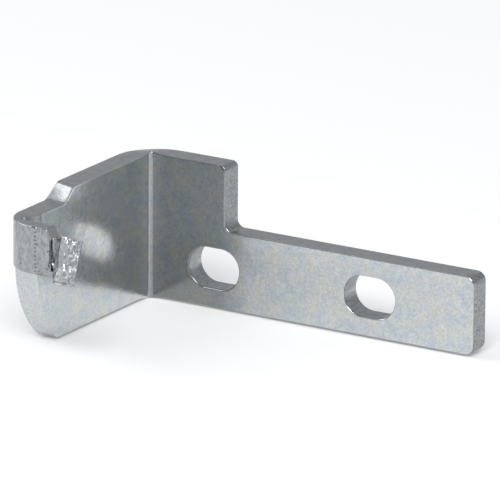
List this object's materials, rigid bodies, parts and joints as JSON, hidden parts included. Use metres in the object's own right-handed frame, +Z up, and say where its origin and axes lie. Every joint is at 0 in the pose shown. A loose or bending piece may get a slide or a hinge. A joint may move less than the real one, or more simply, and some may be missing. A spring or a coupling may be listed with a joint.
{
  "type": "refrigerator hinge bracket",
  "caption": "Bent zinc-plated steel bracket with a slotted mounting leg and a hook leg that ends in a folded, sheared strip.",
  "frame": {"origin": "middle of the two-slot pattern, on the back face of the mounting leg, which lies against the cabinet", "axes": "+X along the mounting leg away from the bend, +Y out of its back face towards the cabinet, +Z up"},
  "size_m": [0.063, 0.0443, 0.0233],
  "materials": {
    "zinc_plated_steel": "bright zinc plating on rolled steel plate, burnished and torn along the sheared edges"
  },
  "bodies": {
    "root": {"hinge_bracket": "zinc_plated_steel"}
  },
  "joints": []
}
